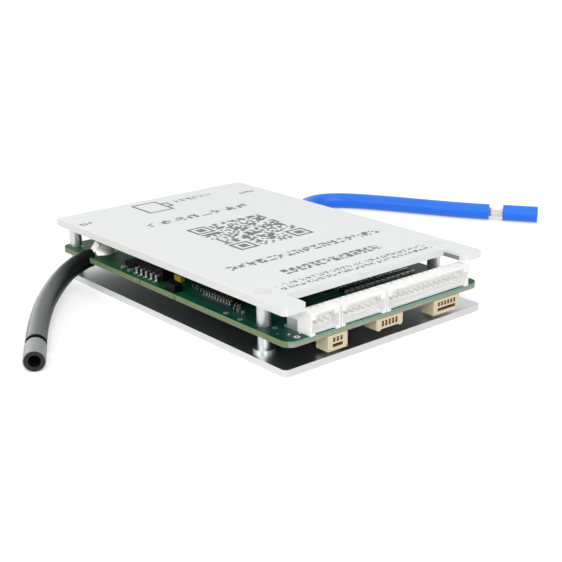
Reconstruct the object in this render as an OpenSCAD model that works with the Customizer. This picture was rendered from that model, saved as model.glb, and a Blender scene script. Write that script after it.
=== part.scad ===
// Battery management board: a circuit board between two aluminium plates on studs,
// with side-entry headers, small ports and two free power leads.
// Millimetres. X runs along the plates to the connector end, Y across, Z up from the lower face.

/* [Plates] */
// Length of both plates
plate_l = 112; // [105:1:130]
// Width of both plates
plate_w = 73; // [72:1:84]
// Thickness of both plates
plate_t = 2; // [1.5:0.5:3]
// Corner radius of both plates
plate_r = 1.5; // [0.5:0.5:3]
// Depth of the recess that clears the headers
recess_depth = 8.3; // [7:0.1:9]
// Width of the corner tabs beside the recess
tab_w = 7.5; // [6:0.5:9]
// Rounding of the tabs' inner corners
tab_r = 1.5; // [0.5:0.5:2.5]

/* [Stack] */
// Clear height between the lower plate and the circuit board
lower_gap = 5.4; // [5.2:0.1:8]
// Thickness of the circuit board
board_t = 1.6; // [1.2:0.2:2]
// Clear height between the circuit board and the upper plate
upper_gap = 7; // [6.6:0.1:9]

/* [Circuit board] */
// Distance from the plates' lead end back to the circuit board
board_end_inset = 0.5; // [0:0.1:2]
// Distance from the plates' long sides in to the circuit board
board_side_inset = 1; // [0:0.1:1.5]
// Corner radius of the circuit board
board_r = 3; // [1:0.5:4]
// Depth of the slot that each lead passes through
slot_depth = 5.5; // [5:0.5:7]
// Distance of the slots from the plates' lead end
slot_inset = 15; // [13:0.5:18]

/* [Studs] */
// Distance of the studs from the plates' long sides
stud_side_inset = 4.8; // [4.5:0.1:6]
// Distance of the studs from the connector end
stud_front_inset = 14; // [13:0.5:16]
// Distance of the studs from the lead end
stud_rear_inset = 3.5; // [3.5:0.1:6]
// Diameter of the upper studs
upper_stud_d = 3.8; // [3.4:0.1:4.4]
// Diameter of the flush stud heads in the upper plate
stud_head_d = 5; // [4.6:0.1:5.8]
// Diameter of the lower studs
lower_stud_d = 3.4; // [3:0.1:4]
// Diameter of the lower studs' collars
collar_d = 5.8; // [5:0.1:6.5]
// Thickness of the lower studs' collars
collar_t = 0.8; // [0.5:0.1:1.5]
// Diameter of the tie screws
screw_d = 2; // [1.6:0.1:2.2]
// Diameter of the tie screws' sunk heads
screw_head_d = 3.8; // [3.4:0.1:4.4]

/* [Headers] */
// Distance between neighbouring header pins
header_pitch = 2; // [1.9:0.05:2.1]
// Height of a header
header_h = 6.2; // [5.8:0.1:6.4]
// Depth of a header's hood
hood_depth = 4; // [3.6:0.1:5]
// Depth of a whole header
header_depth = 8.7; // [8:0.1:9.5]
// Height of a header behind its hood
header_rear_h = 4; // [3.6:0.1:4.6]
// Width of the plastic beyond the outer pins
header_end = 3; // [2.8:0.1:3.4]
// Gap between neighbouring headers
header_gap = 0.3; // [0.2:0.1:0.6]
// Distance by which the headers stand out past the plates
header_overhang = 0.5; // [0:0.1:1.5]

/* [Ports] */
// Distance between neighbouring port contacts
port_pitch = 1.25; // [1.2:0.05:1.3]
// Height of the outer ports
port_h = 4.2; // [4:0.1:4.5]
// Height of the middle port
low_port_h = 2.8; // [2.6:0.1:3.4]
// Depth of the ports
port_depth = 4.5; // [4:0.1:5]
// Width of the plastic beyond the outer contacts
port_end = 2.1; // [1.8:0.1:2.4]

/* [Leads] */
// Outer diameter of the leads
lead_d = 5.8; // [5.6:0.1:6]
// Diameter of the bare strands
strand_d = 3.2; // [2.6:0.1:3.6]
// Bare stretch of the black lead
black_bare = 2.4; // [1:0.1:6]
// Bare stretch of the blue lead
blue_bare = 5.1; // [1:0.1:8]
// Length of the black lead's loose sleeve
black_sleeve_l = 9.2; // [6:0.1:14]
// Length of the blue lead's loose sleeve
blue_sleeve_l = 12.4; // [8:0.1:16]

/* [Hidden] */

$fn = 48;
EPS = 0.01;

// Levels of the stack
BOARD_Z = plate_t + lower_gap;
TOP_OF_BOARD = BOARD_Z + board_t;
UPPER_Z = TOP_OF_BOARD + upper_gap;
STACK_H = UPPER_Z + plate_t;
FRONT = plate_l / 2;
SIDE = plate_w / 2;
BOARD_L = plate_l - board_end_inset;
BOARD_W = plate_w - 2 * board_side_inset;

// Stud places
STUDS = [for (x = [FRONT - stud_front_inset, stud_rear_inset - FRONT], s = [-1, 1])
    [x, s * (SIDE - stud_side_inset)]];
SCREW_PLAY = 0.2;
SCREW_HEAD_T = 1.2;
SCREW_SINK = 0.1;
THREAD_DEPTH = 5;

// Lead slots in the circuit board, and the leads' fixed ends above it
MOUND_R = 4.4;
MOUND_H = 3.2;
MOUND_SETBACK = 1.3;
TAIL_LIFT = 0.35;
TAIL_L = 3.4;
LEAD_START_INSET = 2.3;
LEAD_DROP = 1.1;
SLOT_X = slot_inset - FRONT;
SLOT_PLAY = 0.6;
SLOT_W = lead_d + SLOT_PLAY;
SLOT_END_Y = BOARD_W / 2 - slot_depth;
LEAD_START_Y = BOARD_W / 2 - LEAD_START_INSET;
LEAD_START_Z = TOP_OF_BOARD - LEAD_DROP;
TAIL_Z = TOP_OF_BOARD + strand_d / 2 + TAIL_LIFT;

// Headers: number of ways, and where each one starts across the board
HEADER_WAYS = [3, 6, 14];
HEADER_X = FRONT + header_overhang;
function header_w(ways) = header_pitch * (ways - 1) + 2 * header_end;
HEADER_SUM = header_w(HEADER_WAYS[0]) + header_w(HEADER_WAYS[1]) + header_w(HEADER_WAYS[2]);
HEADER_SHIFT = 0.8;
HEADER_Y0 = HEADER_SHIFT - (HEADER_SUM + 2 * header_gap) / 2;
function header_y(i) = HEADER_Y0
    + (i > 0 ? header_w(HEADER_WAYS[0]) + header_gap : 0)
    + (i > 1 ? header_w(HEADER_WAYS[1]) + header_gap : 0);
HOOD_WALL = 0.5;
HOOD_ROOF = 0.8;
HOOD_FLOOR = 0.8;
HOOD_BACK = 0.8;
KEY_W = 1.5;
KEY_Z = 4.2;
FLOOR_SETBACK = 1.1;
LEG_W = 1.4;
PIN_W = 0.5;
PIN_Z = 2.4;
PIN_FOOT = 1.7;
PIN_FOOT_T = 0.4;
PIN_TIP_X = 0.9;
PIN_HOLE_X = 0.5;
PIN_BACK_GAP = 0.2;
NOTCH_W = 1;
NOTCH_DEPTH = 1;
TAB_T = 0.4;
TAB_H = 3;
TAB_GROOVE = 3.5;
TAB_FOOT = 1.6;

// Ports hang below the circuit board: ways, and the centre of each across the board
PORT_OVERHANG = 0.2;
PORT_X = FRONT + PORT_OVERHANG;
PORT_WALL = 0.7;
UPPER_MOUTH_H = 1.2;
RIB_W = 0.4;
CORNER_HOLE_D = 0.4;
CORNER_HOLE_IN = 0.45;
LOWER_MOUTH_H = 0.9;
LOWER_MOUTH_Z = 2.4;
LOWER_MOUTH_STEP = 0.9;
LOW_PORT_WALL = 0.6;
BULGE_D = 2;
LEFT_PORT = [3, -0.263 * plate_w];
MIDDLE_PORT = [5, -0.008 * plate_w];
RIGHT_PORT = [6, 0.297 * plate_w];
function port_w(port) = port_pitch * (port[0] - 1) + 2 * port_end;
CONTACT_W = 0.35;
CONTACT_T = 0.3;
CONTACT_Z = 1.2;
CONTACT_FOOT = 1.2;
CONTACT_TIP_X = 0.3;
CONTACT_BACK_GAP = 0.1;

// Routes of the two free leads, chosen by hand: out of the slot, down to the surface, along it.
BLACK_ROUTE = [
    [SLOT_X, -LEAD_START_Y, LEAD_START_Z], [SLOT_X, -LEAD_START_Y - 0.8, LEAD_START_Z],
    [-40.95, -35.4, 7.65], [-40.55, -37.4, 7.3],
    [-39.6, -39.9, 6.85], [-37.6, -43.6, 6.2], [-35, -47.2, 5.55], [-31.6, -51, 4.95],
    [-27.9, -54.7, 4.35], [-23.3, -58.8, 3.8], [-17.8, -63, 3.3], [-11.8, -67.1, 3],
    [-7.8, -69.6, 2.9], [-4.4, -71.65, 2.9], [-1.4, -73.4, 2.9], [1.23, -74.9, 2.9]
];
BLUE_ROUTE = [
    [SLOT_X, LEAD_START_Y, LEAD_START_Z], [SLOT_X, LEAD_START_Y + 0.8, LEAD_START_Z],
    [-41.05, 35.4, 7.65], [-41.35, 37.6, 7.25],
    [-42.1, 41, 6.45], [-43.7, 46, 5.2], [-46.3, 52, 3.85], [-50, 58.6, 3.05],
    [-54.4, 64.8, 2.9], [-57.8, 70, 2.9], [-59.2, 74.8, 2.9], [-58.6, 79.6, 2.9],
    [-55.4, 84.6, 2.9], [-49.6, 89.4, 2.9], [-42.6, 93.6, 2.9], [-34.8, 97.8, 2.9],
    [-27.6, 101.5, 2.9], [-20.4, 105.2, 2.9], [-12.4, 109.6, 2.9], [-6.8, 113.1, 2.9],
    [-5.2, 114.2, 2.9]
];
// Stripped tails: level out of the insulation, up over the board's edge, level on the board
function tail_route(side) = [
    [SLOT_X, side * LEAD_START_Y, LEAD_START_Z],
    [SLOT_X, side * (LEAD_START_Y - TAIL_LIFT), LEAD_START_Z],
    [SLOT_X, side * (SLOT_END_Y + TAIL_LIFT), TAIL_Z + TAIL_LIFT],
    [SLOT_X, side * (SLOT_END_Y - TAIL_L / 2), TAIL_Z],
    [SLOT_X, side * (SLOT_END_Y - TAIL_L), TAIL_Z]
];
LEAD_SIDES = 12;

// Parts on the circuit board: sizes, and places as shares of the plates' length and width
function at_share(along, across) = [along * plate_l, across * plate_w];
TRANSISTOR = [9, 8.6, 4.4];
TRANSISTOR_COLS = 4;
TRANSISTOR_STEP = 10.4;
TRANSISTOR_ROWS = [at_share(-0.259, -0.15), at_share(-0.259, 0.15)];
TRANSISTOR_LEAD = [0.8, 3, 0.6];
TRANSISTOR_LEAD_STEP = 2.54;
SHUNT = [3.2, 6.4, 0.7];
SHUNT_STEP = 8;
SHUNT_AT = at_share(-0.446, 0);
ISOLATOR = [13.4, 6.2, 3.5];
ISOLATOR_AT = at_share(-0.091, -0.392);
DRIVER = [12.8, 7.5, 2.3];
DRIVER_AT = at_share(0.17, -0.34);
CONTROLLER = [7, 7, 1.4];
CONTROLLER_AT = at_share(0.17, -0.11);
MONITOR = [9, 9, 0.9];
MONITOR_AT = at_share(0.1875, 0.164);
REGULATOR = [5.6, 4.6, 2];
REGULATOR_AT = at_share(-0.183, -0.405);
REGULATOR_LEAD = [0.9, 1.9, 0.5];
REGULATOR_LEAD_STEP = 1.85;
INDUCTOR_D = 7;
INDUCTOR_H = 3.6;
INDUCTOR_AT = at_share(0.018, 0.356);
TANTALUM = [3.2, 1.6, 1.6];
TANTALUM_AT = [at_share(-0.0125, -0.375), at_share(0.09, 0.356), at_share(0.137, 0.356)];
EDGE_RESISTOR = [1.6, 0.9, 0.8];
EDGE_RESISTOR_AT = [
    at_share(0.0625, -0.382), at_share(0.0893, -0.388), at_share(0.243, -0.392),
    at_share(0.259, -0.416), at_share(0.281, -0.42)
];
DIODE = [4.4, 2.6, 2.2];
DIODE_AT = [
    at_share(0.04, -0.458), at_share(0.286, -0.32), at_share(0.286, -0.254), at_share(0.286, -0.188)
];
BALANCE_RESISTOR = [3.1, 1.5, 0.6];
BALANCE_RESISTOR_X = at_share(0.327, 0)[0];
FILTER_CAPACITOR = [1.6, 0.8, 0.8];
FILTER_CAPACITOR_X = at_share(0.291, 0)[0];
CHIP_LIFT = 0.15;
LEAD_T = 0.25;
// Bent package leads: how many a side, pitch, width, reach from the body, height of exit
ISOLATOR_LEADS = [5, 2.54, 0.9, 2.2, 1.6];
DRIVER_LEADS = [10, 1.27, 0.4, 1.4, 1];
CONTROLLER_LEADS = [8, 0.8, 0.35, 1.1, 0.6];

// ---- plates and board ----

module rounded_slab(length, width, thick, radius) {
    linear_extrude(thick) rounded_rect(length, width, radius);
}

// A rectangle with round corners, from two bars and four discs
module rounded_rect(length, width, radius) {
    square([length - 2 * radius, width], center = true);
    square([length, width - 2 * radius], center = true);
    for (x = [-1, 1], y = [-1, 1])
        translate([x * (length / 2 - radius), y * (width / 2 - radius)]) circle(radius);
}

module at_studs() {
    for (p = STUDS) translate([p[0], p[1], 0]) children();
}

module bottom_plate() {
    color("silver") difference() {
        rounded_slab(plate_l, plate_w, plate_t, plate_r);
        at_studs() {
            translate([0, 0, -EPS]) cylinder(d = screw_d + SCREW_PLAY, h = plate_t + 2 * EPS);
            translate([0, 0, -EPS])
                cylinder(d = screw_head_d + SCREW_PLAY, h = SCREW_HEAD_T + SCREW_SINK + EPS);
        }
    }
}

module circuit_board() {
    color("darkgreen") difference() {
        translate([board_end_inset / 2, 0, BOARD_Z])
            rounded_slab(BOARD_L, BOARD_W, board_t, board_r);
        at_studs() translate([0, 0, BOARD_Z - EPS])
            cylinder(d = screw_d + SCREW_PLAY, h = board_t + 2 * EPS);
        for (s = [-1, 1]) translate([SLOT_X, s * BOARD_W / 2, BOARD_Z - EPS]) lead_slot();
    }
}

module lead_slot() {
    reach = slot_depth - SLOT_W / 2;
    linear_extrude(board_t + 2 * EPS) {
        square([SLOT_W, 2 * reach], center = true);
        for (s = [-1, 1]) translate([0, s * reach]) circle(d = SLOT_W);
    }
}

module top_plate() {
    color("whitesmoke") difference() {
        translate([0, 0, UPPER_Z]) rounded_slab(plate_l, plate_w, plate_t, plate_r);
        translate([0, 0, UPPER_Z - EPS]) linear_extrude(plate_t + 2 * EPS) header_recess();
        at_studs() translate([0, 0, UPPER_Z - EPS])
            cylinder(d = stud_head_d, h = plate_t + 2 * EPS);
    }
}

// Outline of the recess: straight sides, flared round where it leaves the tabs
module header_recess() {
    half = SIDE - tab_w;
    depth = recess_depth + 1;
    translate([FRONT - recess_depth, -half]) square([depth, 2 * half]);
    for (s = [-1, 1]) difference() {
        translate([FRONT - tab_r, s * half - (s > 0 ? 0 : tab_r)]) square([tab_r + 1, tab_r]);
        translate([FRONT - tab_r, s * (half + tab_r)]) circle(tab_r);
    }
}

// ---- studs and screws ----

module lower_studs() {
    color("lightgray") at_studs() translate([0, 0, plate_t]) difference() {
        union() {
            cylinder(d = collar_d, h = collar_t);
            cylinder(d = lower_stud_d, h = lower_gap);
        }
        translate([0, 0, -EPS]) cylinder(d = screw_d + SCREW_PLAY, h = lower_gap + 2 * EPS);
    }
}

module upper_studs() {
    color("lightgray") at_studs() translate([0, 0, TOP_OF_BOARD]) difference() {
        union() {
            cylinder(d = upper_stud_d, h = upper_gap + EPS);
            translate([0, 0, upper_gap]) cylinder(d = stud_head_d, h = plate_t);
        }
        translate([0, 0, -EPS]) cylinder(d = screw_d, h = THREAD_DEPTH + EPS);
    }
}

module tie_screws() {
    color("dimgray") at_studs() translate([0, 0, SCREW_SINK]) {
        cylinder(d = screw_head_d, h = SCREW_HEAD_T);
        cylinder(d = screw_d, h = TOP_OF_BOARD + THREAD_DEPTH - 2 * SCREW_SINK);
    }
}

// ---- headers: local x runs back from the mouth, y across, z up from the board ----

module at_header(i) {
    translate([HEADER_X, header_y(i), TOP_OF_BOARD]) mirror([1, 0, 0]) children();
}

module header(i) {
    ways = HEADER_WAYS[i];
    width = header_w(ways);
    color("white") at_header(i) difference() {
        union() {
            cube([hood_depth, width, header_h]);
            cube([header_depth, width, header_rear_h]);
        }
        hood_cavity(width);
        pin_holes(ways);
        roof_notches(ways);
        for (y = [0, width - TAB_T]) translate([header_depth - TAB_GROOVE, y - EPS, -EPS])
            cube([TAB_GROOVE + 1, TAB_T + 2 * EPS, TAB_H + EPS]);
    }
}

// The mouth is wide below and narrow above, and its floor stands back between two legs
module hood_cavity(width) {
    deep = hood_depth - HOOD_BACK;
    translate([-EPS, HOOD_WALL, HOOD_FLOOR])
        cube([deep, width - 2 * HOOD_WALL, KEY_Z - HOOD_FLOOR]);
    translate([-EPS, HOOD_WALL + KEY_W, KEY_Z - EPS])
        cube([deep, width - 2 * (HOOD_WALL + KEY_W), header_h - HOOD_ROOF - KEY_Z + EPS]);
    translate([-EPS, LEG_W, -EPS])
        cube([FLOOR_SETBACK, width - 2 * LEG_W, HOOD_FLOOR + 2 * EPS]);
}

module pin_holes(ways) {
    for (k = [0 : ways - 1])
        translate([PIN_HOLE_X, header_end + k * header_pitch - PIN_W / 2, PIN_Z])
            cube([header_depth, PIN_W, PIN_W]);
}

module roof_notches(ways) {
    for (k = [0 : ways - 1])
        translate([hood_depth - NOTCH_DEPTH, header_end + k * header_pitch - NOTCH_W / 2, header_rear_h])
            cube([NOTCH_DEPTH + EPS, NOTCH_W, header_h]);
}

module header_pins(i) {
    color("gainsboro") at_header(i)
        for (k = [0 : HEADER_WAYS[i] - 1])
            translate([0, header_end + k * header_pitch, 0]) bent_pin();
}

module bent_pin() {
    back = header_depth + PIN_BACK_GAP;
    translate([0, PIN_W / 2, 0]) rotate([90, 0, 0]) linear_extrude(PIN_W) polygon([
        [PIN_TIP_X, PIN_Z], [back, PIN_Z], [back, 0], [back + PIN_FOOT, 0],
        [back + PIN_FOOT, PIN_FOOT_T], [back + PIN_W, PIN_FOOT_T],
        [back + PIN_W, PIN_Z + PIN_W], [PIN_TIP_X, PIN_Z + PIN_W]
    ]);
}

module header_tabs() {
    color("lightgray") for (i = [0 : 2]) at_header(i) {
        width = header_w(HEADER_WAYS[i]);
        header_tab();
        translate([0, width, 0]) mirror([0, 1, 0]) header_tab();
    }
}

module header_tab() {
    translate([header_depth - TAB_GROOVE, 0, 0]) cube([TAB_GROOVE + TAB_T, TAB_T, TAB_H]);
    translate([header_depth + EPS, 0, 0]) cube([TAB_FOOT, LEG_W, TAB_T]);
}

// ---- ports: local x runs back from the mouth, y across from the middle, z down from the board ----

module at_port(port) {
    translate([PORT_X, port[1], BOARD_Z]) rotate([0, 180, 0]) children();
}

// A block that runs back from the mouth, centred across the port
module from_mouth(depth, width, z, height) {
    translate([0, -width / 2, z]) cube([depth, width, height]);
}

module tall_port(port) {
    width = port_w(port);
    color("wheat") at_port(port) difference() {
        from_mouth(port_depth, width, 0, port_h);
        way_slots(port, port_depth - PORT_WALL, PORT_WALL, UPPER_MOUTH_H);
        translate([-EPS, 0, 0])
            from_mouth(port_depth - PORT_WALL, width - 2 * (PORT_WALL + LOWER_MOUTH_STEP),
                LOWER_MOUTH_Z, LOWER_MOUTH_H);
        for (s = [-1, 1])
            translate([-EPS, s * (width / 2 - CORNER_HOLE_IN), port_h - CORNER_HOLE_IN])
                rotate([0, 90, 0]) cylinder(d = CORNER_HOLE_D, h = PORT_WALL);
        contact_slits(port);
    }
}

module low_port(port) {
    width = port_w(port) + LOW_PORT_WALL;
    color("wheat") at_port(port) difference() {
        union() {
            from_mouth(port_depth, width, 0, low_port_h);
            for (s = [-1, 1])
                translate([0, s * (width - BULGE_D) / 2, low_port_h - LOW_PORT_WALL])
                    rotate([0, 90, 0]) cylinder(d = BULGE_D, h = port_depth);
        }
        way_slots(port, port_depth - LOW_PORT_WALL, LOW_PORT_WALL,
            low_port_h - 2 * LOW_PORT_WALL);
        contact_slits(port);
    }
}

// One opening for each way, with ribs between them
module way_slots(port, depth, z, height) {
    at_ways(port) translate([-EPS, 0, 0]) from_mouth(depth, port_pitch - RIB_W, z, height);
}

module contact_slits(port) {
    at_ways(port) translate([CONTACT_TIP_X, 0, 0])
        from_mouth(port_depth, CONTACT_W, CONTACT_Z, CONTACT_T);
}

module at_ways(port) {
    for (k = [0 : port[0] - 1])
        translate([0, port_pitch * (k - (port[0] - 1) / 2), 0]) children();
}

module port_contacts(port) {
    back = port_depth + CONTACT_BACK_GAP;
    color("gold") at_port(port) at_ways(port)
        translate([0, CONTACT_W / 2, 0]) rotate([90, 0, 0]) linear_extrude(CONTACT_W) polygon([
            [CONTACT_TIP_X, CONTACT_Z], [back, CONTACT_Z], [back, 0], [back + CONTACT_FOOT, 0],
            [back + CONTACT_FOOT, CONTACT_T], [back + CONTACT_T, CONTACT_T],
            [back + CONTACT_T, CONTACT_Z + CONTACT_T], [CONTACT_TIP_X, CONTACT_Z + CONTACT_T]
        ]);
}

// ---- leads ----

// The same route with one more point on each stretch, on one smooth curve; the first and the
// last stretch stay straight, since the tail and the strands leave along them
function smoothed(route) =
    let (n = len(route))
    [for (i = [0 : n - 2]) each [
        route[i],
        i == 0 || i == n - 2 ? (route[i] + route[i + 1]) / 2
            : (9 * (route[i] + route[i + 1]) - route[i - 1] - route[i + 2]) / 16
    ], route[n - 1]];

// Unit direction of travel at point i of a route
function heading(route, i) = unit(route[min(i + 1, len(route) - 1)] - route[max(i - 1, 0)]);
function unit(v) = v / norm(v);
function ring(route, i, radius) =
    let (t = heading(route, i), u = unit(cross(t, [0, 0, 1])), v = cross(u, t))
    [for (k = [0 : LEAD_SIDES - 1])
        route[i] + radius * (cos(360 * k / LEAD_SIDES) * u + sin(360 * k / LEAD_SIDES) * v)];

// One closed tube through every point of a route
module swept_lead(route, radius) {
    n = len(route);
    points = [for (i = [0 : n - 1]) each ring(route, i, radius)];
    walls = [for (i = [0 : n - 2], k = [0 : LEAD_SIDES - 1])
        let (a = i * LEAD_SIDES + k, b = i * LEAD_SIDES + (k + 1) % LEAD_SIDES)
        [a, b, b + LEAD_SIDES, a + LEAD_SIDES]];
    start_cap = [for (k = [LEAD_SIDES - 1 : -1 : 0]) k];
    end_cap = [for (k = [0 : LEAD_SIDES - 1]) (n - 1) * LEAD_SIDES + k];
    polyhedron(points, concat([start_cap], walls, [end_cap]));
}

// Places children at a route's far end, with local z along its last heading
module at_far_end(route) {
    last = len(route) - 1;
    d = heading(route, last);
    translate(route[last]) rotate([0, acos(d[2]), atan2(d[1], d[0])]) children();
}

module lead_strands(route, bare, sleeve_l) {
    at_far_end(route) cylinder(d = strand_d, h = bare + sleeve_l / 2);
}

module lead_sleeve(route, bare, sleeve_l) {
    at_far_end(route) translate([0, 0, bare]) difference() {
        cylinder(d = lead_d, h = sleeve_l);
        translate([0, 0, -EPS]) cylinder(d = strand_d, h = sleeve_l + 2 * EPS);
    }
}

// Stripped tail that runs from the insulation's fixed end up onto the board
module lead_tail(side) {
    swept_lead(tail_route(side), strand_d / 2);
}

// Dome of solder over the tail, on the board around the slot's end
module lead_solder(side) {
    ball_r = (MOUND_R * MOUND_R + MOUND_H * MOUND_H) / (2 * MOUND_H);
    color("silver") difference() {
        intersection() {
            translate([SLOT_X, side * (SLOT_END_Y - MOUND_SETBACK), TOP_OF_BOARD + MOUND_H - ball_r])
                sphere(ball_r);
            on_board([SLOT_X, side * (SLOT_END_Y - MOUND_SETBACK)])
                cylinder(r = ball_r, h = 2 * MOUND_H);
        }
        lead_tail(side);
    }
}

module black_lead() {
    color("#202224") swept_lead(smoothed(BLACK_ROUTE), lead_d / 2);
}

module black_lead_strands() {
    color("silver") lead_strands(BLACK_ROUTE, black_bare, black_sleeve_l);
}

module black_lead_sleeve() {
    color("#202224") lead_sleeve(BLACK_ROUTE, black_bare, black_sleeve_l);
}

module black_lead_tail() {
    color("silver") lead_tail(-1);
}

module blue_lead() {
    color("dodgerblue") swept_lead(smoothed(BLUE_ROUTE), lead_d / 2);
}

module blue_lead_strands() {
    color("silver") lead_strands(BLUE_ROUTE, blue_bare, blue_sleeve_l);
}

module blue_lead_sleeve() {
    color("dodgerblue") lead_sleeve(BLUE_ROUTE, blue_bare, blue_sleeve_l);
}

module blue_lead_tail() {
    color("silver") lead_tail(1);
}

// ---- parts on the circuit board ----

module on_board(at) {
    translate([at[0], at[1], TOP_OF_BOARD]) children();
}

module block(size, lift = 0) {
    translate([-size[0] / 2, -size[1] / 2, lift]) cube(size);
}

// Bent leads along both long sides of a package
module gull_leads(body, leads) {
    per_side = leads[0];
    width = leads[2];
    reach = leads[3];
    rise = leads[4];
    for (s = [-1, 1], k = [0 : per_side - 1])
        translate([leads[1] * (k - (per_side - 1) / 2) - s * width / 2, s * body[1] / 2, 0])
            rotate([90, 0, s * 90]) linear_extrude(width) polygon([
                [0, rise], [reach / 2, rise], [reach / 2, 0], [reach, 0], [reach, LEAD_T],
                [reach / 2 + LEAD_T, LEAD_T], [reach / 2 + LEAD_T, rise + LEAD_T],
                [0, rise + LEAD_T]
            ]);
}

module at_transistors() {
    for (row = TRANSISTOR_ROWS, c = [0 : TRANSISTOR_COLS - 1])
        on_board([row[0] + c * TRANSISTOR_STEP, row[1]]) children();
}

module power_transistors() {
    color("#2a2c2e") at_transistors() block(TRANSISTOR);
}

module transistor_leads() {
    color("silver") at_transistors() for (s = [-1, 1])
        translate([s * TRANSISTOR_LEAD_STEP, (TRANSISTOR[1] + TRANSISTOR_LEAD[1]) / 2, 0])
            block(TRANSISTOR_LEAD);
}

module thermal_pads() {
    span = TRANSISTOR_STEP * (TRANSISTOR_COLS - 1);
    color("lightsteelblue") for (row = TRANSISTOR_ROWS)
        on_board([row[0] + span / 2, row[1]])
            block([span + TRANSISTOR[0], TRANSISTOR[1], upper_gap - TRANSISTOR[2]], TRANSISTOR[2]);
}

module shunt_resistors() {
    color("#3a3c3e") for (k = [-1 : 1])
        on_board([SHUNT_AT[0], SHUNT_AT[1] + SHUNT_STEP * k]) block(SHUNT);
}

module isolator() {
    color("#26282a") on_board(ISOLATOR_AT) block(ISOLATOR, CHIP_LIFT);
}

module isolator_leads() {
    color("silver") on_board(ISOLATOR_AT) gull_leads(ISOLATOR, ISOLATOR_LEADS);
}

module driver_chip() {
    color("#26282a") on_board(DRIVER_AT) block(DRIVER, CHIP_LIFT);
}

module driver_chip_leads() {
    color("silver") on_board(DRIVER_AT) gull_leads(DRIVER, DRIVER_LEADS);
}

module controller_chip() {
    color("#26282a") on_board(CONTROLLER_AT) block(CONTROLLER, CHIP_LIFT);
}

module controller_chip_leads() {
    color("silver") on_board(CONTROLLER_AT) for (a = [0, 90]) rotate([0, 0, a])
        gull_leads(CONTROLLER, CONTROLLER_LEADS);
}

module monitor_chip() {
    color("#26282a") on_board(MONITOR_AT) block(MONITOR);
}

module voltage_regulator() {
    color("#3a3c3e") on_board(REGULATOR_AT) block(REGULATOR);
}

module voltage_regulator_leads() {
    color("silver") on_board(REGULATOR_AT) for (s = [-1, 1])
        translate([s * REGULATOR_LEAD_STEP, -(REGULATOR[1] + REGULATOR_LEAD[1]) / 2, 0])
            block(REGULATOR_LEAD);
}

module power_inductor() {
    color("#55585a") on_board(INDUCTOR_AT) cylinder(d = INDUCTOR_D, h = INDUCTOR_H);
}

module tantalum_capacitors() {
    color("goldenrod") for (at = TANTALUM_AT) on_board(at) block(TANTALUM);
}

module edge_resistors() {
    color("#303234") for (at = EDGE_RESISTOR_AT) on_board(at) block(EDGE_RESISTOR);
}

// One part behind each way of the wide header
module behind_ways(x) {
    for (k = [0 : HEADER_WAYS[2] - 1])
        on_board([x, header_y(2) + header_end + k * header_pitch]) children();
}

module balance_resistors() {
    color("#303234") behind_ways(BALANCE_RESISTOR_X) block(BALANCE_RESISTOR);
}

module filter_capacitors() {
    color("tan") behind_ways(FILTER_CAPACITOR_X) block(FILTER_CAPACITOR);
}

module surge_diodes() {
    color("#26282a") for (at = DIODE_AT) on_board(at) block(DIODE);
}

bottom_plate();
circuit_board();
top_plate();
lower_studs();
upper_studs();
tie_screws();
header(0);  // small_header
header(1);  // medium_header
header(2);  // wide_header
header_pins(0);  // small_header_pins
header_pins(1);  // medium_header_pins
header_pins(2);  // wide_header_pins
header_tabs();
tall_port(LEFT_PORT);  // left_port
low_port(MIDDLE_PORT);  // middle_port
tall_port(RIGHT_PORT);  // right_port
port_contacts(LEFT_PORT);  // left_port_contacts
port_contacts(MIDDLE_PORT);  // middle_port_contacts
port_contacts(RIGHT_PORT);  // right_port_contacts
black_lead();
black_lead_strands();
black_lead_sleeve();
black_lead_tail();
lead_solder(-1);  // black_lead_solder
blue_lead();
blue_lead_strands();
blue_lead_sleeve();
blue_lead_tail();
lead_solder(1);  // blue_lead_solder
power_transistors();
transistor_leads();
thermal_pads();
shunt_resistors();
isolator();
isolator_leads();
driver_chip();
driver_chip_leads();
controller_chip();
controller_chip_leads();
monitor_chip();
voltage_regulator();
voltage_regulator_leads();
power_inductor();
tantalum_capacitors();
edge_resistors();
balance_resistors();
filter_capacitors();
surge_diodes();
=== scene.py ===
"""Looks of the battery management board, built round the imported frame.

Metres, +Z up. The origin is the centre of the bottom plate's underside, the headers are at +X, the
black lead leaves at -Y and the blue lead at +Y. Shader patterns work in millimetres.
"""
import math

import bpy
from mathutils import Matrix, Vector


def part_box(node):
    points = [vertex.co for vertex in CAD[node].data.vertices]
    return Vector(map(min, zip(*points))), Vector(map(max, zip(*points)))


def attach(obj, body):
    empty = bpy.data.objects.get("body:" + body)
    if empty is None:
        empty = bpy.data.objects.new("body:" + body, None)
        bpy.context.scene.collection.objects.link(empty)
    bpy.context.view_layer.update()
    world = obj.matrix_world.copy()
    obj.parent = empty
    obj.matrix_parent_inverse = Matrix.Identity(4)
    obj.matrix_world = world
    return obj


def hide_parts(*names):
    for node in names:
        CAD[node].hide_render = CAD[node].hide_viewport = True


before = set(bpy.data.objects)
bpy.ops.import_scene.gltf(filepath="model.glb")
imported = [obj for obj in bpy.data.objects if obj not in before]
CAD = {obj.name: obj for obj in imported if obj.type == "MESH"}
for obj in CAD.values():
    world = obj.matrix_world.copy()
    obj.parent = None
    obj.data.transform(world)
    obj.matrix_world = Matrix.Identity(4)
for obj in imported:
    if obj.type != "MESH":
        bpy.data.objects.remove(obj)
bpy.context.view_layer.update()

MM = 0.001


# ---- camera ----

CAMERA_AZIMUTH, CAMERA_ELEVATION, CAMERA_ROLL = 50.204, 18.666, -0.714
CAMERA_LENS = 68.86
CAMERA_RIGHT, CAMERA_UP, CAMERA_BACK = 6.995 * MM, 2.822 * MM, 326.145 * MM


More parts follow.
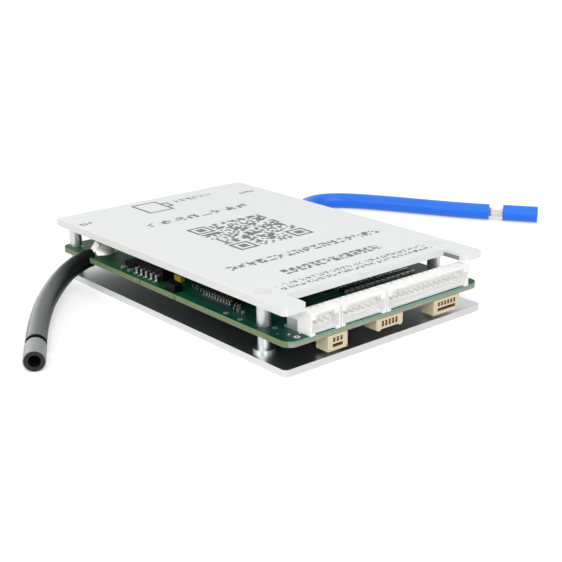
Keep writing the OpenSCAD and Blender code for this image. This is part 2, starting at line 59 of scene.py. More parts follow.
def make_camera():
    """A long lens, low over the corner between the headers and the black lead's side."""
    azimuth, elevation, roll = map(math.radians, (CAMERA_AZIMUTH, CAMERA_ELEVATION, CAMERA_ROLL))
    back = Vector((
        math.sin(azimuth) * math.cos(elevation),
        -math.cos(azimuth) * math.cos(elevation),
        math.sin(elevation),
    ))
    level = Vector((0, 0, 1)).cross(back).normalized()
    upright = back.cross(level)
    right = math.cos(roll) * level + math.sin(roll) * upright
    up = -math.sin(roll) * level + math.cos(roll) * upright
    lens = bpy.data.cameras.new("camera")
    lens.sensor_width = 36
    lens.lens = CAMERA_LENS
    lens.clip_start = 0.01
    camera = bpy.data.objects.new("camera", lens)
    place = right * CAMERA_RIGHT + up * CAMERA_UP + back * CAMERA_BACK
    camera.matrix_world = Matrix.Translation(place) @ Matrix((right, up, back)).transposed().to_4x4()
    bpy.context.collection.objects.link(camera)
    bpy.context.scene.camera = camera


# ---- leads ----

LEAD_R = 2.9 * MM
LEAD_SKIN = 0.05 * MM  # keeps the round tube inside the CAD lead's box
STRAND_R = 1.6 * MM
STRAND_RINGS = (1, 6, 12, 18)  # wires in each ring, from the middle outwards
STRAND_TWIST = 38  # degrees over the whole bundle
BLACK_ROUTE = [
    (-41, -33.2, 7.9), (-41, -34, 7.9), (-40.95, -35.4, 7.65), (-40.55, -37.4, 7.3),
    (-39.6, -39.9, 6.85), (-37.6, -43.6, 6.2), (-35, -47.2, 5.55), (-31.6, -51, 4.95),
    (-27.9, -54.7, 4.35), (-23.3, -58.8, 3.8), (-17.8, -63, 3.3), (-11.8, -67.1, 3),
    (-7.8, -69.6, 2.9), (-4.4, -71.65, 2.9), (-1.4, -73.4, 2.9), (1.23, -74.9, 2.9),
]
BLUE_ROUTE = [
    (-41, 33.2, 7.9), (-41, 34, 7.9), (-41.05, 35.4, 7.65), (-41.35, 37.6, 7.25),
    (-42.1, 41, 6.45), (-43.7, 46, 5.2), (-46.3, 52, 3.85), (-50, 58.6, 3.05),
    (-54.4, 64.8, 2.9), (-57.8, 70, 2.9), (-59.2, 74.8, 2.9), (-58.6, 79.6, 2.9),
    (-55.4, 84.6, 2.9), (-49.6, 89.4, 2.9), (-42.6, 93.6, 2.9), (-34.8, 97.8, 2.9),
    (-27.6, 101.5, 2.9), (-20.4, 105.2, 2.9), (-12.4, 109.6, 2.9), (-6.8, 113.1, 2.9),
    (-5.2, 114.2, 2.9),
]


def end_direction(route):
    """The way in which a lead points at its cut end."""
    return (Vector(route[-1]) - Vector(route[-2])).normalized()


def smooth_line(route, steps=6):
    """Points on one smooth curve through every point of a route, in metres."""
    points = [Vector(p) * MM for p in route]
    line = []
    for i in range(len(points) - 1):
        b, c = points[i], points[i + 1]
        if i in (0, len(points) - 2):
            line += [b.lerp(c, k / steps) for k in range(steps)]
            continue
        a, d = points[i - 1], points[i + 2]
        square, cube = 2 * a - 5 * b + 4 * c - d, 3 * b - a - 3 * c + d
        for t in (k / steps for k in range(steps)):
            line.append(0.5 * (2 * b + (c - a) * t + square * t**2 + cube * t**3))
    return [*line, points[-1]]


def new_mesh(name, verts, faces, smooth=False):
    """A piece made here, riding on the one body."""
    mesh = bpy.data.meshes.new(name)
    mesh.from_pydata([tuple(v) for v in verts], [], faces)
    mesh.validate()
    if smooth:
        mesh.shade_smooth()
    piece = bpy.data.objects.new(name, mesh)
    bpy.context.collection.objects.link(piece)
    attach(piece, "root")
    return piece


def ring(middle, radius, side, up, sides):
    """Points evenly round a circle."""
    turns = (2 * math.pi * k / sides for k in range(sides))
    return [middle + radius * (math.cos(a) * side + math.sin(a) * up) for a in turns]


def tube_faces(base, rings, sides):
    """Side faces and both end caps of a tube whose points start at base, ring after ring."""
    faces = []
    for i in range(rings - 1):
        for k in range(sides):
            a, b = base + i * sides + k, base + i * sides + (k + 1) % sides
            faces.append((a, b, b + sides, a + sides))
    last = base + (rings - 1) * sides
    faces.append(tuple(range(base + sides - 1, base - 1, -1)))
    faces.append(tuple(range(last, last + sides)))
    return faces


def lead_tube(name, route, sides=32):
    """The insulation as a round tube along its route, its cut ends square."""
    line = smooth_line(route)
    last = len(line) - 1
    verts, side = [], None
    for i, middle in enumerate(line):
        along = (line[min(i + 1, last)] - line[max(i - 1, 0)]).normalized()
        side = along.cross(Vector((0, 0, 1))) if side is None else side - side.dot(along) * along
        side.normalize()
        verts += ring(middle, LEAD_R - LEAD_SKIN, side, side.cross(along), sides)
    tube = new_mesh(name, verts, tube_faces(0, len(line), sides))
    for polygon in tube.data.polygons:
        polygon.use_smooth = len(polygon.vertices) == 4
    length = sum((b - a).length for a, b in zip(line, line[1:]))
    return tube, line, length


def strand_bundle(name, start, along, length, rings=7, sides=6):
    """Bare strands as circles of fine wires with a gentle twist."""
    side = along.cross(Vector((0, 0, 1))).normalized()
    up = side.cross(along)
    wire = STRAND_R / (2 * len(STRAND_RINGS) - 1)
    verts, faces = [], []
    for circle, count in enumerate(STRAND_RINGS):
        for k in range(count):
            base = len(verts)
            for t in (i / (rings - 1) for i in range(rings)):
                a = 2 * math.pi * k / count + math.radians(STRAND_TWIST) * t
                out = 2 * wire * circle * (math.cos(a) * side + math.sin(a) * up)
                verts += ring(start + along * length * t + out, wire, side, up, sides)
            faces += tube_faces(base, rings, sides)
    return new_mesh(name, verts, faces, smooth=True)


def make_lead(colour, route, bare, stub):
    """One lead: its tube and its bare strands in place of the CAD's lead and strands, beside the CAD's
    loose stub.

    The strands run a fifth of the way into the stub. bare and stub are lengths in mm.
    """
    tube, line, length = lead_tube(f"{colour}_lead_insulation", route)
    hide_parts(f"{colour}_lead")
    reach = (bare + stub / 5) * MM
    strands = strand_bundle(f"{colour}_lead_wires", line[-1], end_direction(route), reach)
    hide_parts(f"{colour}_lead_strands")
    return tube, strands


# ---- shader helpers ----

ROUGH_SPREAD = 0.15  # share of a roughness by which its mottling goes up and down
RELIEF_STRENGTH = 0.6
SIDE_ON = 0.5  # a face is an edge where its direction's Z, up or down, is under this


def hex_colour(text):
    """An sRGB hex colour as linear RGBA."""
    parts = [int(text[i : i + 2], 16) / 255 for i in (0, 2, 4)]
    return [p / 12.92 if p <= 0.04045 else ((p + 0.055) / 1.055) ** 2.4 for p in parts] + [1.0]


def add(tree, kind, sockets=(), out=0, **settings):
    """Adds one shader node and gives back the output asked for, or the node itself if out is None.

    Its sockets, in order or by name, take numbers, hex colours or other nodes' outputs.
    """
    node = tree.nodes.new("ShaderNode" + kind)
    for name, value in settings.items():
        setattr(node, name, value)
    for name, value in sockets.items() if isinstance(sockets, dict) else enumerate(sockets):
        if isinstance(value, bpy.types.NodeSocket):
            tree.links.new(value, node.inputs[name])
        else:
            node.inputs[name].default_value = hex_colour(value) if isinstance(value, str) else value
    return node if out is None else node.outputs[out]


def place_mm(tree):
    """The shaded point in the part's frame, in millimetres."""
    where = add(tree, "TexCoord", out="Object")
    return add(tree, "VectorMath", [where, (1000, 1000, 1000)], operation="MULTIPLY")


def place_xyz(tree):
    """The X, Y and Z of the shaded point, in millimetres."""
    return add(tree, "SeparateXYZ", [place_mm(tree)], out=None).outputs


def facing(tree):
    """The X, Y and Z of the way in which the surface faces."""
    return add(tree, "SeparateXYZ", [add(tree, "NewGeometry", out="Normal")], out=None).outputs


def edge_on(tree):
    """1 on the cut edges of a flat sheet, 0 on its faces."""
    rise = add(tree, "Math", [facing(tree)[2]], operation="ABSOLUTE")
    return add(tree, "Math", [rise, SIDE_ON], operation="LESS_THAN")


def grain(tree, size_mm, low, high, detail=2.0, stretch=(1, 1, 1)):
    """Fine mottling of that real size, mapped from low to high."""
    pulled = add(tree, "VectorMath", [place_mm(tree), stretch], operation="MULTIPLY")
    noise = add(tree, "TexNoise", {"Vector": pulled, "Scale": 1 / size_mm, "Detail": detail})
    return add(tree, "MapRange", {"Value": noise, "To Min": low, "To Max": high})


def layered(tree, colour, *coats):
    """A colour with others laid over it in turn, each where its mask is 1."""
    for mask, over in coats:
        colour = add(tree, "Mix", {0: mask, 6: colour, 7: over}, out=2, data_type="RGBA")
    return colour


def inside(tree, value, low=None, high=None):
    """1 where value lies between low and high, either of which may be left out."""
    if low is None:
        return add(tree, "Math", [value, high], operation="LESS_THAN")
    if high is None:
        return add(tree, "Math", [value, low], operation="GREATER_THAN")
    return add(tree, "Math", [value, (low + high) / 2, (high - low) / 2], operation="COMPARE")


def joined(tree, operation, masks):
    """One mask from several, by MULTIPLY where all hold or by MAXIMUM where any holds."""
    whole = masks[0]
    for mask in masks[1:]:
        whole = add(tree, "Math", [whole, mask], operation=operation)
    return whole


def surface(name, colour, rough, metal=0.0, grain_mm=0.6, bump=0.0, **sockets):
    """A material with fine mottling of its roughness, and of its relief if bump, in mm, is set.

    Real finishes are mostly finer than grain_mm, which is drawn coarse enough to show.
    """
    mat = bpy.data.materials.new(name)
    mat.use_nodes = True
    tree = mat.node_tree
    shader = tree.nodes["Principled BSDF"]
    shader.inputs["Base Color"].default_value = hex_colour(colour)
    shader.inputs["Metallic"].default_value = metal
    mottled = grain(tree, grain_mm, rough * (1 - ROUGH_SPREAD), rough * (1 + ROUGH_SPREAD))
    tree.links.new(mottled, shader.inputs["Roughness"])
    if bump:
        height = grain(tree, grain_mm, 0, 1)
        relief = add(
            tree, "Bump", {"Height": height, "Distance": bump * MM, "Strength": RELIEF_STRENGTH}
        )
        tree.links.new(relief, shader.inputs["Normal"])
    for label, value in sockets.items():
        shader.inputs[label.replace("_", " ")].default_value = value
    return mat, tree, shader


def dress(mat, *pieces):
    """Puts a material on CAD nodes, named, and on pieces made here."""
    for piece in pieces:
        mesh = (CAD[piece] if isinstance(piece, str) else piece).data
        mesh.materials.clear()
        mesh.materials.append(mat)


# ---- print on the top plate ----

PLATE_WHITE = "EAECEB"
PLATE_CUT = "DADAD8"
# the grey of a painted dark reflection on one wall of the tab
PLATE_REFLECTION = "7E8080"
PRINT_GREY = "3A3C3E"
PRINT_LINE = 0.9
BATTERY_CASE = (-52.5, -40.5, -11, -1.4)  # low and high X, low and high Y
BATTERY_TERMINAL = (-48.9, -44.1, -2.3, 0.9)
PRINT_ROWS = (  # low and high X, low and high Y, pitch, seed, share of cells filled
    (-49.4, -46.6, 3.4, 19, 2.6, 1.0, 0.5),
    (-30.4, -26.9, -19.7, 19.7, 4.9, 2.0, 0.45),
    (20.4, 23.8, -27.3, 28.3, 3.3, 4.0, 0.52),
    (32.0, 35.8, -18.2, 17.1, 2.5, 5.0, 0.64),
    (40.7, 42.4, -27.4, 28, 2.1, 6.0, 0.5),
    (43.3, 45.0, -27.4, 28, 2.1, 7.0, 0.5),
    (-44.9, -42.3, -34.6, -30.4, 1.5, 8.0, 0.6),
    (-43.2, -41.2, 26, 32.4, 1.6, 9.0, 0.6),
)


def steps(tree, value, origin, size):
    """value counted in steps of that size from its origin."""
    moved = add(tree, "Math", [value, origin], operation="SUBTRACT")
    return add(tree, "Math", [moved, size], operation="DIVIDE")


def random_cells(tree, x, y, origin, size, seed, share):
    """1 in about that share of a grid's cells, chosen at random by the seed."""
    across, along = (
        add(tree, "Math", [steps(tree, *axis)], operation="FLOOR") for axis in zip((x, y), origin, size)
    )
    cell = add(tree, "CombineXYZ", [across, along, seed])
    noise = add(tree, "TexWhiteNoise", {"Vector": cell}, out="Value", noise_dimensions="3D")
    return inside(tree, noise, high=share)


def mark_row(tree, x, y, low_x, high_x, low_y, high_y, pitch, seed, share):
    """A row of blocky marks with even gaps, running across the plate. They spell nothing."""
    beat = add(tree, "Math", [steps(tree, y, low_y, pitch)], operation="FRACT")
    cell = ((high_x - low_x) / 4, pitch / 4)
    return joined(tree, "MULTIPLY", [
        inside(tree, x, low_x, high_x),
        inside(tree, y, low_y, high_y),
        inside(tree, beat, high=0.8),
        random_cells(tree, x, y, (low_x, 0), cell, seed, share),
    ])


def outline_mark(tree, x, y, low_x, high_x, low_y, high_y):
    """A plain rectangle's outline."""
    outer, inner = (
        joined(tree, "MULTIPLY", [
            inside(tree, x, low_x + inset, high_x - inset), inside(tree, y, low_y + inset, high_y - inset),
        ])
        for inset in (0, PRINT_LINE)
    )
    return add(tree, "Math", [outer, inner], operation="SUBTRACT")


def random_block(tree, x, y, mid_x=-3.1, mid_y=-0.2, cells=29, cell=0.95, seed=3.0):
    """A square field of random cells with nested squares in three corners. It holds no message.

    reach counts cells outwards from the middle of a nested square.
    """
    half = cells * cell / 2
    mask = joined(tree, "MULTIPLY", [
        inside(tree, x, mid_x - half, mid_x + half),
        inside(tree, y, mid_y - half, mid_y + half),
        random_cells(tree, x, y, (mid_x - half, mid_y - half), (cell, cell), seed, 0.5),
    ])
    for side_x, side_y in ((-1, -1), (1, -1), (1, 1)):
        corner = (mid_x + side_x * (half - 3.5 * cell), mid_y + side_y * (half - 3.5 * cell))
        reach = joined(tree, "MAXIMUM", [
            add(tree, "Math", [steps(tree, value, middle, cell)], operation="ABSOLUTE")
            for value, middle in zip((x, y), corner)
        ])
        clear = joined(tree, "MULTIPLY", [mask, inside(tree, reach, low=4.5)])
        mask = joined(tree, "MAXIMUM", [
            clear, inside(tree, reach, 2.5, 3.5), inside(tree, reach, high=1.5),
        ])
    return mask


# ---- plates ----

# where the painted dark reflection lies on the tab's wall: its X span, its Y span and its top, in mm
REFLECTION_WALL_X, REFLECTION_WALL_Y, REFLECTION_WALL_TOP = (48.0, 53.8), (20.0, 33.0), 17.2
ROLLED_ROUGH, EDGE_EXTRA_ROUGH, EDGE_LESS_METAL = 0.31, 0.17, -0.6


def coated_plate():
    """Aluminium with a satin coating: soft, pale and even, with grey print on its upper face.

    Its cut edge is a little greyer, and one wall of the tab by the blue lead's side has a painted dark
    reflection in grey.
    """
    mat, tree, shader = surface("satin_coated_aluminium", PLATE_WHITE, 0.5, grain_mm=0.25, bump=0.004)
    x, y, z = place_xyz(tree)
    ink = joined(tree, "MAXIMUM", [
        random_block(tree, x, y),
        outline_mark(tree, x, y, *BATTERY_CASE),
        outline_mark(tree, x, y, *BATTERY_TERMINAL),
        *(mark_row(tree, x, y, *row) for row in PRINT_ROWS),
    ])
    upper_face = inside(tree, z, low=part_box("top_plate")[1].z / MM - 0.05)
    worn = grain(tree, 3, 0.75, 1.0)
    ink = joined(tree, "MULTIPLY", [ink, upper_face, worn])
    cut = inside(tree, facing(tree)[1], high=-0.6)
    # painted dark reflection: grey on one wall of the tab by the blue lead's side
    bare = joined(tree, "MULTIPLY", [
        cut, inside(tree, x, *REFLECTION_WALL_X), inside(tree, y, *REFLECTION_WALL_Y),
        inside(tree, z, high=REFLECTION_WALL_TOP),
    ])
    coat = layered(tree, PLATE_WHITE, (cut, PLATE_CUT), (bare, PLATE_REFLECTION), (ink, PRINT_GREY))
    tree.links.new(coat, shader.inputs["Base Color"])
    dress(mat, "top_plate")


def rolled_plate():
    """Bright rolled aluminium: a soft mirror of what is above it, with a paler, duller cut edge."""
    face = "C3CAC7"
    mat, tree, shader = surface("rolled_aluminium", face, ROLLED_ROUGH, 1.0, grain_mm=3)
    edge = edge_on(tree)
    tree.links.new(layered(tree, face, (edge, "D8D9D8")), shader.inputs["Base Color"])
    for socket, on_face, change in (
        ("Roughness", ROLLED_ROUGH, EDGE_EXTRA_ROUGH), ("Metallic", 1.0, EDGE_LESS_METAL)
    ):
        value = add(tree, "Math", [edge, change, on_face], operation="MULTIPLY_ADD")
        tree.links.new(value, shader.inputs[socket])
    dress(mat, "bottom_plate")


# ---- circuit board ----

BREAKOFF_X, BREAKOFF_HALF, BREAKOFF_DEPTH = (-9.9, 7.7), 0.3, 0.5
RIM_DEPTHS = (0.24, 0.6)  # of the green rim, on the long sides and on the ends
RUN_CELL, RUN_SEED, RUN_SHARE = (7.0, 0.9), 12.0, 0.35  # the copper runs' grid and how full it is
TEAL_FROM, TEAL_TO = 2.0, 18.0  # the X over which green turns to teal
PADS = (  # inset from the board's header end, inset from its black lead side, outer and inner radius
    (1.9, 4.5, 0.85, 0.4), (4.5, 4.1, 0.35, 0.0), (10.3, 4.4, 0.7, 0.35), (27.2, 1.7, 0.8, 0.0),
    (20.9, 1.5, 0.8, 0.0), (6.8, 2.3, 0.3, 0.0), (3.4, 6.6, 0.3, 0.0), (106.5, 4.5, 0.6, 0.3),
)


def board_edge(tree, x, y, z):
    """The laminate's cut edge: glass weave, with a thin green rim where the mask ran over.

    The weave is drawn coarser than the real one, so that it shows.
    """
    low, high = (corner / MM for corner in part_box("circuit_board"))
    weave = grain(tree, 0.7, 0, 1, detail=4.0, stretch=(1, 1, 2))
    ragged = add(tree, "Math", [weave, 0.3, z], operation="MULTIPLY_ADD")
    long_side, long_rim, end_side, end_rim = (
        layered(tree, dark, (weave, pale))
        for dark, pale in (
            ("5A6648", "858E6A"), ("4A7650", "7C9C72"), ("8C8C74", "B0AF9B"), ("5C907C", "86B09C")
        )
    )
    thin_rim, deep_rim = (inside(tree, ragged, low=high.z - depth) for depth in RIM_DEPTHS)
    marks = joined(tree, "MULTIPLY", [
        joined(tree, "MAXIMUM", [
            inside(tree, x, mark - BREAKOFF_HALF, mark + BREAKOFF_HALF) for mark in BREAKOFF_X
        ]),
        inside(tree, y, high=low.y + BREAKOFF_DEPTH),
        0.75,
    ])
    return layered(
        tree,
        layered(tree, long_side, (thin_rim, long_rim)),
        (inside(tree, facing(tree)[0], low=0.7), layered(tree, end_side, (deep_rim, end_rim))),
        (marks, "1E3A2A"),
    )


def solder_mask():
    """Satin green mask over a glass laminate: dark and even, with copper runs as lighter strips.

    It has a painted glow, lighter green away from the headers and turning to darker teal towards them, and
    painted shade on its underside.
    """
    mat, tree, shader = surface(
        "solder_mask_laminate", "0C4A30", 0.45, grain_mm=1.5, Specular_IOR_Level=0.15
    )
    x, y, z = place_xyz(tree)
    runs = random_cells(tree, x, y, (0, 0), RUN_CELL, RUN_SEED, RUN_SHARE)
    # painted glow: lighter green away from the headers, darker teal towards them
    teal = add(tree, "MapRange", {"Value": x, "From Min": TEAL_FROM, "From Max": TEAL_TO})
    whole = layered(
        tree,
        layered(tree, "0B4524", (teal, "06362B")),
        (joined(tree, "MULTIPLY", [runs, 0.6]), layered(tree, "14663A", (teal, "0D5443"))),
        # painted shade on the faces that look down
        (inside(tree, facing(tree)[2], high=-SIDE_ON), "04170F"),
        (edge_on(tree), board_edge(tree, x, y, z)),
    )
    tree.links.new(whole, shader.inputs["Base Color"])
    dress(mat, "circuit_board")


def pad_discs(tin, sides=24):
    """Tinned pads and vias on the board: flat discs and rings a hair above it."""
    low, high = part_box("circuit_board")
    right, ahead = Vector((1, 0, 0)), Vector((0, 1, 0))
    verts, faces = [], []
    for from_end, from_side, outer, inner in PADS:
        base = len(verts)
        middle = Vector((high.x - from_end * MM, low.y + from_side * MM, high.z))
        for rise in (0, 0.05 * MM):
            for radius in (outer, inner):
                verts += ring(middle + Vector((0, 0, rise)), radius * MM, right, ahead, sides)
        for k in range(sides):
            n = (k + 1) % sides
            up_out, up_in = base + 2 * sides, base + 3 * sides
            faces.append((base + k, base + n, up_out + n, up_out + k))
            faces.append((up_out + k, up_out + n, up_in + n, up_in + k))
            if inner:
                faces.append((base + sides + n, base + sides + k, up_in + k, up_in + n))
    dress(tin, new_mesh("board_pads", verts, faces))


# ---- small parts ----

CAP_SKIN = 0.03 * MM
CAP_SHARES = {  # the share of each body's length that one tinned end takes
    "edge_resistors": 0.18, "filter_capacitors": 0.2, "balance_resistors": 0.1, "shunt_resistors": 0.15,
}
BOX_FACES = ((0, 1, 3, 2), (4, 6, 7, 5), (0, 4, 5, 1), (2, 3, 7, 6), (0, 2, 6, 4), (1, 5, 7, 3))


def solids(name):
    """The low and high corner of every separate solid in a CAD node."""
    piece = CAD[name]
    group = {}

    def root(key):
        while group.setdefault(key, key) != key:
            key = group[key]
        return key

    keys = [tuple(round(c, 6) for c in piece.matrix_world @ v.co) for v in piece.data.vertices]
    for edge in piece.data.edges:
        first, second = (root(keys[v]) for v in edge.vertices)
        group[first] = second
    found = {}
    for key in keys:
        found.setdefault(root(key), []).append(key)
    return [
        tuple(Vector(pick(axis) for axis in zip(*points)) for pick in (min, max))
        for points in found.values()
    ]


def end_caps(name, share, tin):
    """Tinned ends of small chip parts, a hair proud of each body along its longer side."""
    skin = Vector((CAP_SKIN, CAP_SKIN, 0))
    verts, faces = [], []
    for low, high in solids(name):
        axis = 0 if high.x - low.x > high.y - low.y else 1
        cap = (high[axis] - low[axis]) * share
        for start, end in (
            (low[axis] - CAP_SKIN, low[axis] + cap), (high[axis] - cap, high[axis] + CAP_SKIN)
        ):
            a, b = low - skin, high + skin + Vector((0, 0, CAP_SKIN))
            a[axis], b[axis] = start, end
            base = len(verts)
            verts += [(x, y, z) for x in (a.x, b.x) for y in (a.y, b.y) for z in (a.z, b.z)]
            faces += [tuple(base + k for k in face) for face in BOX_FACES]
    dress(tin, new_mesh(f"{name}_ends", verts, faces))


def metals():
    """Solder, plating and contact metals of the small parts."""
    # Hot-dipped tin on package leads: bright, with a slight ripple.
    tin = surface("bright_tin", "ECECEA", 0.35, 0.9, grain_mm=0.4, bump=0.01)[0]
    dress(
        tin, "header_tabs", "transistor_leads", "isolator_leads", "driver_chip_leads",
        "controller_chip_leads", "voltage_regulator_leads",
    )
    # Electroplated tin on the header pins: duller and greyer, so the pins stay quiet in white mouths.
    pin = surface("dull_tin", "EAE8E2", 0.5, 0.5, grain_mm=0.4)[0]
    dress(pin, "small_header_pins", "medium_header_pins", "wide_header_pins")
    # Hand-laid solder: pale, lumpy and half matt.
    solder = surface("solder", "EFEDE9", 0.42, 0.7, grain_mm=0.9, bump=0.06)[0]
    dress(solder, "black_lead_solder", "blue_lead_solder", "black_lead_tail", "blue_lead_tail")
    # Zinc on the screws: darker than the studs, with clear highlights.
    dress(surface("zinc_plated_steel", "A6A8AA", 0.3, 1.0, grain_mm=0.5)[0], "tie_screws")
    # A flash of gold on the port contacts: warm glints inside the mouths.
    gold = surface("flash_gold_contact", "D9B56A", 0.3, 1.0, grain_mm=0.3)[0]
    dress(gold, "left_port_contacts", "middle_port_contacts", "right_port_contacts")
    # Bare resistance alloy strip: a warm grey metal.
    dress(surface("manganin_strip", "8E8780", 0.35, 1.0, grain_mm=0.5)[0], "shunt_resistors")
    return tin


def studs():
    """Satin nickel on turned steel: pale with a soft vertical shine, and paler on the riveted heads."""
    nickel = "CDD2D4"
    mat, tree, shader = surface("nickel_plated_steel", nickel, 0.36, 1.0, grain_mm=0.5)
    head = inside(tree, place_xyz(tree)[2], low=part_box("upper_studs")[1].z / MM - 0.05)
    tree.links.new(layered(tree, nickel, (head, "DEE0E0")), shader.inputs["Base Color"])
    dress(mat, "upper_studs", "lower_studs")


def port_shells():
    """Moulded cream nylon: warm and satin, with painted shade in brown inside the mouths."""
    cream = "D8CCAE"
    names = ("left_port", "middle_port", "right_port")
    mat, tree, shader = surface("cream_nylon", cream, 0.4, grain_mm=0.4, bump=0.006)
    x, y, z = place_xyz(tree)
    boxes = [[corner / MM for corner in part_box(name)] for name in names]
    mouths = [inside(tree, y, low.y + 0.5, high.y - 0.5) for low, high in boxes]
    low, high = boxes[-1]
    painted_mouth_shade = joined(tree, "MULTIPLY", [
        joined(tree, "MAXIMUM", mouths), inside(tree, x, high=high.x - 0.08),
        inside(tree, z, low.z + 0.4, high.z - 0.3),
    ])
    # painted shade: brown deep inside the mouths
    tree.links.new(layered(tree, cream, (painted_mouth_shade, "94734E")), shader.inputs["Base Color"])
    dress(mat, *names)


def plastics():
    """Moulded housings and package bodies."""
    # White nylon: light sinks in a little, so its shaded sides stay pale.
    white = surface(
        "white_nylon", "FEFEFC", 0.38, grain_mm=0.4, bump=0.006,
        Subsurface_Weight=0.5, Subsurface_Radius=(1, 1, 1), Subsurface_Scale=2 * MM,
    )[0]
    dress(white, "small_header", "medium_header", "wide_header")
    # Moulded epoxy: near black, with a fine dull texture and little shine.
    epoxy = surface("black_epoxy", "090909", 0.5, grain_mm=0.2, bump=0.01, Specular_IOR_Level=0.1)[0]
    dress(
        epoxy, "power_transistors", "isolator", "driver_chip", "controller_chip", "monitor_chip",
        "surge_diodes", "voltage_regulator", "balance_resistors", "edge_resistors",
    )
    # Filled yellow epoxy: mustard and satin.
    dress(surface("yellow_epoxy", "AE9B34", 0.45, grain_mm=0.3)[0], "tantalum_capacitors")
    # Fired ceramic: tan, hard and smooth.
    dress(surface("tan_ceramic", "A58562", 0.4, grain_mm=0.2)[0], "filter_capacitors")
    # Pressed ferrite: dark grey and grainy.
    dress(surface("ferrite", "3C3D40", 0.55, grain_mm=0.3, bump=0.02)[0], "power_inductor")
    # Soft filled silicone sheet: matt grey.
    dress(surface("silicone_gap_pad", "474C4F", 0.7, grain_mm=0.4, bump=0.02)[0], "thermal_pads")


# ---- lead finishes ----

HIGHLIT_SIDE = (-0.62, -0.35, 0.7)  # the way in which the side of the black lead with the painted highlight faces


def black_insulation(tube):
    """Extruded black silicone: matt black at the board, with a painted highlight in grey on its upper,
    outer side.
    """
    clean = "080A0A"
    mat, tree, shader = surface(
        "black_silicone", clean, 0.42, grain_mm=0.5, bump=0.004, Specular_IOR_Level=0.25
    )
    normal = add(tree, "NewGeometry", out="Normal")
    upward = add(tree, "VectorMath", [normal, HIGHLIT_SIDE], out="Value", operation="DOT_PRODUCT")
    # painted highlight: grey where the surface faces the upper, outer side, growing along the lead away
    # from the board
    painted_highlight = joined(tree, "MULTIPLY", [
        add(tree, "MapRange", {"Value": upward, "From Min": -0.32, "From Max": -0.04}),
        add(tree, "MapRange", {"Value": place_xyz(tree)[1], "From Min": -44.0, "From Max": -58.0}),
    ])
    tree.links.new(layered(tree, clean, (painted_highlight, "626463")), shader.inputs["Base Color"])
    dress(mat, tube)


def black_stub():
    """The cut stub of black silicone: grey outside with a painted sheen, black on its cut face and bore.
    """
    mat, tree, shader = surface(
        "black_silicone_painted_sheen", "131516", 0.5, grain_mm=0.5, bump=0.02, Specular_IOR_Level=0.4
    )
    away = add(tree, "VectorMath", [place_mm(tree), BLACK_ROUTE[-1]], operation="SUBTRACT")
    off_axis = add(tree, "VectorMath", [away, end_direction(BLACK_ROUTE)], operation="CROSS_PRODUCT")
    reach = add(tree, "VectorMath", [off_axis], out="Value", operation="LENGTH")
    # painted sheen: grey on the outside of the stub
    outside = inside(tree, reach, low=LEAD_R / MM * 0.93)
    tree.links.new(layered(tree, "100F0F", (outside, "929493")), shader.inputs["Base Color"])
    dress(mat, "black_lead_sleeve")


def lead_finishes(black_lead, blue_lead):
    black_insulation(black_lead[0])
    black_stub()
    # Extruded blue silicone: strong colour with a soft bloom that pales it towards the edges.
    silicone = surface(
        "blue_silicone", "006AE2", 0.42, grain_mm=0.5, bump=0.01, Specular_IOR_Level=0.5,
        Sheen_Weight=1.0, Sheen_Roughness=0.4, Sheen_Tint=hex_colour("9CE4FF"),
    )[0]
    dress(silicone, blue_lead[0], "blue_lead_sleeve")
    # Tinned copper wires: pale, faintly pink metal.
    wires = surface("tinned_copper_strands", "E2DCD8", 0.5, 0.8, grain_mm=0.2)[0]
    dress(wires, black_lead[1], blue_lead[1])


# ---- room ----

FLOOR_LIFT = {  # glow over the floor's own colour, by distance in mm, so that it stays white far out
    "From Min": 250.0, "From Max": 1600.0, "To Min": 0.35, "To Max": 0.85,
}
WORLD_LIGHT, WORLD_SEEN = 0.46, 0.56
LAMPS = (  # name, place, size, watts, whether it lights matt surfaces too
    ("soft_top", (0.1, 0.0, 1.0), (0.9, 0.9), 2.4, True),
    ("soft_left", (-0.1, -1.1, 0.4), (0.9, 0.4), 5.0, True),
    ("back_card", (-1.0, 0.1, 0.12), (0.6, 0.26), 1.6, False),
    ("soft_front", (0.9, -0.4, 0.6), (0.8, 0.5), 5.6, True),
)


def seen_rays(tree):
    """1 for what the lens sees directly, in a gloss or through glass."""
    path = add(tree, "LightPath", out=None).outputs
    rays = [path[name] for name in ("Is Camera Ray", "Is Glossy Ray", "Is Transmission Ray")]
    return joined(tree, "MAXIMUM", rays)


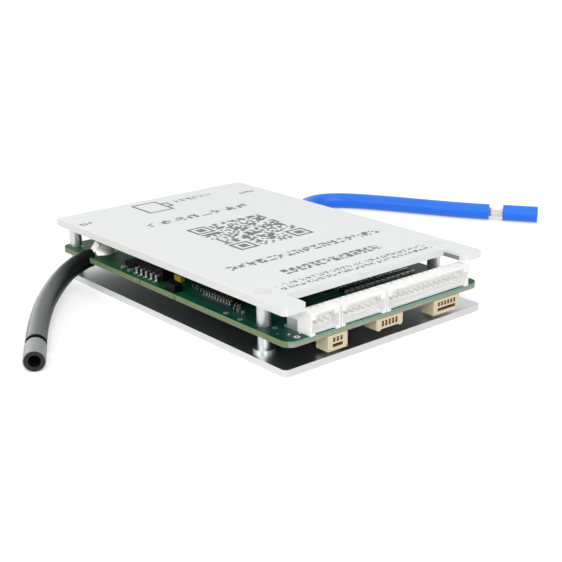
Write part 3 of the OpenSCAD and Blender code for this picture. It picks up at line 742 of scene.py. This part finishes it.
def make_floor():
    """A plain pale floor whose seen colour is lifted to white; its shadows stay."""
    bpy.ops.mesh.primitive_plane_add(size=6)
    floor = bpy.context.object
    floor.name = "floor"
    mat = bpy.data.materials.new("matte_white_floor")
    mat.use_nodes = True
    tree = mat.node_tree
    tree.nodes.clear()
    away = add(tree, "VectorMath", [place_mm(tree)], out="Value", operation="LENGTH")
    lift = add(tree, "MapRange", {"Value": away, **FLOOR_LIFT})
    strength = joined(tree, "MULTIPLY", [seen_rays(tree), lift])
    glow = add(tree, "Emission", {"Color": "FFFFFF", "Strength": strength})
    matt = add(tree, "BsdfDiffuse", {"Color": "EDEDED"})
    add(tree, "OutputMaterial", [add(tree, "AddShader", [matt, glow])], out=None)
    floor.data.materials.append(mat)


def make_light():
    """A white tent: even light, soft boxes above, at the left and in front, and a card behind."""
    world = bpy.data.worlds.new("studio")
    bpy.context.scene.world = world
    world.use_nodes = True
    tree = world.node_tree
    tree.nodes.clear()
    strength = add(tree, "Math", [seen_rays(tree), WORLD_SEEN, WORLD_LIGHT], operation="MULTIPLY_ADD")
    sky = add(tree, "Background", {"Color": "FFFFFF", "Strength": strength})
    add(tree, "OutputWorld", [sky], out=None)
    for name, place, size, power, diffuse in LAMPS:
        light = bpy.data.lights.new(name, "AREA")
        light.shape = "RECTANGLE"
        light.size, light.size_y = size
        light.energy = power
        lamp = bpy.data.objects.new(name, light)
        lamp.location = place
        lamp.visible_diffuse = diffuse
        lamp.rotation_euler = (-Vector(place)).to_track_quat("-Z", "Y").to_euler()
        bpy.context.collection.objects.link(lamp)


# ---- the whole scene ----

make_camera()
black = make_lead("black", BLACK_ROUTE, bare=2.4, stub=9.2)
blue = make_lead("blue", BLUE_ROUTE, bare=5.1, stub=12.4)
coated_plate()
rolled_plate()
solder_mask()
studs()
port_shells()
tinned = metals()
plastics()
for node, share in CAP_SHARES.items():
    end_caps(node, share, tinned)
lead_finishes(black, blue)
pad_discs(tinned)
make_floor()
make_light()
bpy.context.scene.view_settings.view_transform = "Standard"
